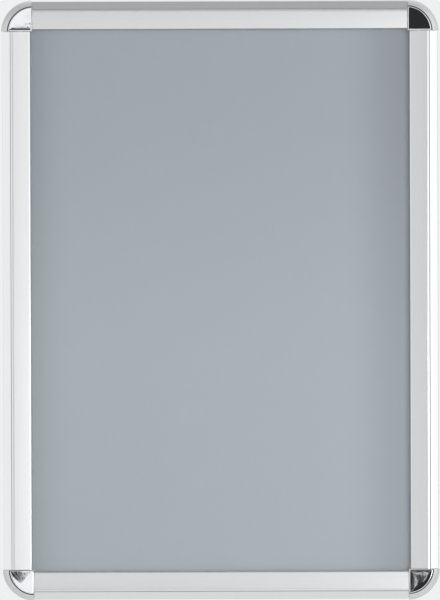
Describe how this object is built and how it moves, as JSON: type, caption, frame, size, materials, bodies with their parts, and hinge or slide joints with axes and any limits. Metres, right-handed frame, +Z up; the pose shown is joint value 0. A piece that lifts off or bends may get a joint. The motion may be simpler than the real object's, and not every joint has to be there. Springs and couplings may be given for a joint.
{
  "type": "snap frame",
  "caption": "Wall-mounted portrait poster snap frame: satin aluminium rails with hinged spring-loaded flaps, round chromed corners, grey back panel and clear cover sheet.",
  "frame": {"origin": "middle of the top rail's rear face, in the wall plane", "axes": "+X to the viewer's right, +Y into the wall, +Z up; the front faces -Y"},
  "size_m": [0.466, 0.0131, 0.64],
  "materials": {
    "anodised_aluminium": "satin",
    "chromed_plastic": "polished",
    "spring_steel": "satin",
    "zinc_plated_steel": "satin",
    "grey_polystyrene": "matte",
    "clear_cover": "satin"
  },
  "bodies": {
    "frame": {"top_base_rail": "anodised_aluminium", "bottom_base_rail": "anodised_aluminium", "left_base_rail": "anodised_aluminium", "right_base_rail": "anodised_aluminium", "top_left_corner": "chromed_plastic", "top_right_corner": "chromed_plastic", "bottom_left_corner": "chromed_plastic", "bottom_right_corner": "chromed_plastic", "top_corner_screw_1": "zinc_plated_steel", "top_corner_screw_2": "zinc_plated_steel", "bottom_corner_screw_1": "zinc_plated_steel", "bottom_corner_screw_2": "zinc_plated_steel", "left_corner_screw_1": "zinc_plated_steel", "left_corner_screw_2": "zinc_plated_steel", "right_corner_screw_1": "zinc_plated_steel", "right_corner_screw_2": "zinc_plated_steel", "back_panel": "grey_polystyrene", "cover_sheet": "clear_cover"},
    "top_flap": {"top_snap_flap": "anodised_aluminium"},
    "top_springs": {"top_spring_1": "spring_steel", "top_spring_2": "spring_steel"},
    "bottom_flap": {"bottom_snap_flap": "anodised_aluminium"},
    "bottom_springs": {"bottom_spring_1": "spring_steel", "bottom_spring_2": "spring_steel"},
    "left_flap": {"left_snap_flap": "anodised_aluminium"},
    "left_springs": {"left_spring_1": "spring_steel", "left_spring_2": "spring_steel", "left_spring_3": "spring_steel"},
    "right_flap": {"right_snap_flap": "anodised_aluminium"},
    "right_springs": {"right_spring_1": "spring_steel", "right_spring_2": "spring_steel", "right_spring_3": "spring_steel"}
  },
  "joints": [
    {"name": "top_flap_hinge", "type": "hinge", "parent": "frame", "child": "top_flap", "pos_m": [0, -0.0094, 0.002], "axis": [-1, 0, 0], "range_deg": [0, 90], "deforming": ["top_spring_1", "top_spring_2"]},
    {"name": "bottom_flap_hinge", "type": "hinge", "parent": "frame", "child": "bottom_flap", "pos_m": [0, -0.0094, -0.613], "axis": [1, 0, 0], "range_deg": [0, 90], "deforming": ["bottom_spring_1", "bottom_spring_2"]},
    {"name": "left_flap_hinge", "type": "hinge", "parent": "frame", "child": "left_flap", "pos_m": [-0.2205, -0.0094, -0.3055], "axis": [0, 0, -1], "range_deg": [0, 90], "deforming": ["left_spring_1", "left_spring_2", "left_spring_3"]},
    {"name": "right_flap_hinge", "type": "hinge", "parent": "frame", "child": "right_flap", "pos_m": [0.2205, -0.0094, -0.3055], "axis": [0, 0, 1], "range_deg": [0, 90], "deforming": ["right_spring_1", "right_spring_2", "right_spring_3"]},
    {"name": "top_spring_rock", "type": "hinge", "parent": "frame", "child": "top_springs", "pos_m": [0, -0.00595, -0.00595], "axis": [-1, 0, 0], "range_deg": [-40, 0]},
    {"name": "bottom_spring_rock", "type": "hinge", "parent": "frame", "child": "bottom_springs", "pos_m": [0, -0.00595, -0.60505], "axis": [1, 0, 0], "range_deg": [-40, 0]},
    {"name": "left_spring_rock", "type": "hinge", "parent": "frame", "child": "left_springs", "pos_m": [-0.21255, -0.00595, -0.3055], "axis": [0, 0, -1], "range_deg": [-40, 0]},
    {"name": "right_spring_rock", "type": "hinge", "parent": "frame", "child": "right_springs", "pos_m": [0.21255, -0.00595, -0.3055], "axis": [0, 0, 1], "range_deg": [-40, 0]}
  ],
  "couplings": [
    {"joint": "top_spring_rock", "follows": "top_flap_hinge", "ratio": -0.441},
    {"joint": "bottom_spring_rock", "follows": "bottom_flap_hinge", "ratio": -0.441},
    {"joint": "left_spring_rock", "follows": "left_flap_hinge", "ratio": -0.441},
    {"joint": "right_spring_rock", "follows": "right_flap_hinge", "ratio": -0.441}
  ]
}
